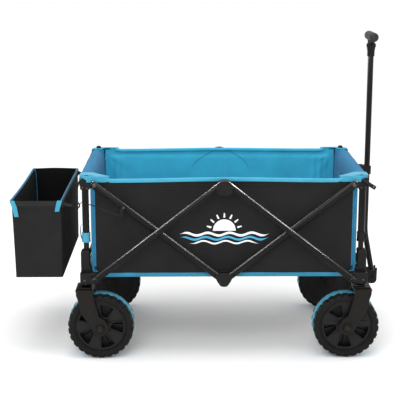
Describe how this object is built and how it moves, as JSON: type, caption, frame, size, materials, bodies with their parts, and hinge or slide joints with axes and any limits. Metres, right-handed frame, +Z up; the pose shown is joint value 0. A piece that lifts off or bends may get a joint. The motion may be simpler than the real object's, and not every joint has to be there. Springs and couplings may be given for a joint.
{
  "type": "folding beach cart",
  "caption": "Folding beach cart: scissor side frames, hung fabric basket, rear bag, wide wheels with front swivels, and a telescoping pull handle.",
  "frame": {"origin": "on the ground under the middle of the whole cart's box", "axes": "+X towards the pull handle, +Z up, -Y the near side"},
  "size_m": [1.148, 0.592, 0.968],
  "materials": {
    "frame_tube": "gloss black powder coat",
    "frame_plastic": "satin black moulded plastic",
    "tyre": "matte black with a blue tread band",
    "wheel_plastic": "satin",
    "panel_fabric": "black woven polyester, blue bound edges",
    "liner_fabric": "blue woven polyester",
    "bag_fabric": "black woven polyester, blue piping",
    "webbing": "black webbing",
    "grip_foam": "matte soft grip",
    "cord": "black elastic cord"
  },
  "bodies": {
    "rear_frame": {"rear_leg_lower_near": "frame_tube", "rear_leg_lower_far": "frame_tube", "rear_lower_bracket_near": "frame_plastic", "rear_lower_bracket_far": "frame_plastic", "rear_cross_beam": "frame_tube", "rear_fork_near": "frame_plastic", "rear_fork_far": "frame_plastic"},
    "rise_rear": {"rear_rise_tube_near": "frame_tube", "rear_rise_tube_far": "frame_tube"},
    "top_hub": {"top_hub_near": "frame_plastic", "top_hub_far": "frame_plastic"},
    "rise_front": {"front_rise_tube_near": "frame_tube", "front_rise_tube_far": "frame_tube"},
    "front_frame": {"front_leg_lower_near": "frame_tube", "front_leg_lower_far": "frame_tube", "front_lower_bracket_near": "frame_plastic", "front_lower_bracket_far": "frame_plastic", "front_cross_beam": "frame_tube", "handle_bracket": "frame_plastic"},
    "fall_rear": {"rear_fall_tube_near": "frame_tube", "rear_fall_tube_far": "frame_tube", "tether": "cord"},
    "upper_rear": {"rear_leg_upper_near": "frame_tube", "rear_leg_upper_far": "frame_tube", "rear_corner_near": "frame_plastic", "rear_corner_far": "frame_plastic", "rear_top_rail": "frame_tube", "basket_rear_wall": "liner_fabric", "rear_bag": "bag_fabric", "bag_strap_near": "webbing", "bag_strap_far": "webbing", "basket_side_near": "panel_fabric", "basket_side_far": "panel_fabric", "basket_floor": "liner_fabric"},
    "bottom_hub": {"bottom_hub_near": "frame_plastic", "bottom_hub_far": "frame_plastic", "bottom_cross_tube": "frame_tube"},
    "fall_front": {"front_fall_tube_near": "frame_tube", "front_fall_tube_far": "frame_tube"},
    "upper_front": {"front_leg_upper_near": "frame_tube", "front_leg_upper_far": "frame_tube", "front_corner_near": "frame_plastic", "front_corner_far": "frame_plastic", "front_top_rail": "frame_tube", "basket_front_wall": "liner_fabric", "handle_clip": "frame_plastic"},
    "caster_near": {"front_fork_near": "frame_plastic"},
    "caster_far": {"front_fork_far": "frame_plastic"},
    "wheel_rear_near": {"rear_tyre_near": "tyre", "rear_wheel_near": "wheel_plastic"},
    "wheel_rear_far": {"rear_tyre_far": "tyre", "rear_wheel_far": "wheel_plastic"},
    "wheel_front_near": {"front_tyre_near": "tyre", "front_wheel_near": "wheel_plastic"},
    "wheel_front_far": {"front_tyre_far": "tyre", "front_wheel_far": "wheel_plastic"},
    "handle": {"handle_tube": "frame_tube", "handle_collar": "frame_plastic"},
    "handle_slide": {"handle_inner_tube": "frame_tube", "handle_grip": "grip_foam"}
  },
  "joints": [
    {"name": "fold", "type": "hinge", "parent": "rear_frame", "child": "rise_rear", "pos_m": [-0.317, 0, 0.255], "axis": [0, -1, 0], "range_deg": [0, 38], "deforming": ["basket_side_near", "basket_side_far", "basket_floor", "tether"]},
    {"name": "top_hub_level", "type": "hinge", "parent": "rise_rear", "child": "top_hub", "pos_m": [0.05, 0, 0.54], "axis": [0, -1, 0], "range_deg": [-38, 0]},
    {"name": "rise_front_fold", "type": "hinge", "parent": "top_hub", "child": "rise_front", "pos_m": [0.082, 0, 0.54], "axis": [0, -1, 0], "range_deg": [-38, 0]},
    {"name": "front_level", "type": "hinge", "parent": "rise_front", "child": "front_frame", "pos_m": [0.449, 0, 0.255], "axis": [0, -1, 0], "range_deg": [0, 38]},
    {"name": "rear_crossing", "type": "hinge", "parent": "rise_rear", "child": "fall_rear", "pos_m": [-0.1335, 0, 0.3975], "axis": [0, -1, 0], "range_deg": [-76, 0]},
    {"name": "upper_rear_level", "type": "hinge", "parent": "fall_rear", "child": "upper_rear", "pos_m": [-0.317, 0, 0.54], "axis": [0, -1, 0], "range_deg": [0, 38]},
    {"name": "bottom_hub_level", "type": "hinge", "parent": "fall_rear", "child": "bottom_hub", "pos_m": [0.05, 0, 0.255], "axis": [0, -1, 0], "range_deg": [0, 38]},
    {"name": "front_crossing", "type": "hinge", "parent": "rise_front", "child": "fall_front", "pos_m": [0.2655, 0, 0.3975], "axis": [0, -1, 0], "range_deg": [0, 76]},
    {"name": "upper_front_level", "type": "hinge", "parent": "fall_front", "child": "upper_front", "pos_m": [0.449, 0, 0.54], "axis": [0, -1, 0], "range_deg": [-38, 0]},
    {"name": "caster_swivel_near", "type": "hinge", "parent": "front_frame", "child": "caster_near", "pos_m": [0.479, -0.234, 0.24], "axis": [0, 0, 1], "continuous": true},
    {"name": "caster_swivel_far", "type": "hinge", "parent": "front_frame", "child": "caster_far", "pos_m": [0.479, 0.234, 0.24], "axis": [0, 0, 1], "continuous": true},
    {"name": "rear_wheel_spin_near", "type": "hinge", "parent": "rear_frame", "child": "wheel_rear_near", "pos_m": [-0.307, -0.234, 0.1], "axis": [0, 1, 0], "continuous": true},
    {"name": "rear_wheel_spin_far", "type": "hinge", "parent": "rear_frame", "child": "wheel_rear_far", "pos_m": [-0.307, 0.234, 0.1], "axis": [0, 1, 0], "continuous": true},
    {"name": "front_wheel_spin_near", "type": "hinge", "parent": "caster_near", "child": "wheel_front_near", "pos_m": [0.439, -0.234, 0.1], "axis": [0, 1, 0], "continuous": true},
    {"name": "front_wheel_spin_far", "type": "hinge", "parent": "caster_far", "child": "wheel_front_far", "pos_m": [0.439, 0.234, 0.1], "axis": [0, 1, 0], "continuous": true},
    {"name": "handle_fold", "type": "hinge", "parent": "front_frame", "child": "handle", "pos_m": [0.558, 0, 0.183], "axis": [0, 1, 0], "range_deg": [0, 80]},
    {"name": "handle_extend", "type": "slide", "parent": "handle", "child": "handle_slide", "axis": [0, 0, 1], "range_m": [0, 0.3]}
  ],
  "couplings": [
    {"joint": "top_hub_level", "follows": "fold", "ratio": -1},
    {"joint": "rise_front_fold", "follows": "fold", "ratio": -1},
    {"joint": "front_level", "follows": "fold", "ratio": 1},
    {"joint": "rear_crossing", "follows": "fold", "ratio": -2},
    {"joint": "upper_rear_level", "follows": "fold", "ratio": 1},
    {"joint": "bottom_hub_level", "follows": "fold", "ratio": 1},
    {"joint": "front_crossing", "follows": "fold", "ratio": 2},
    {"joint": "upper_front_level", "follows": "fold", "ratio": -1}
  ]
}
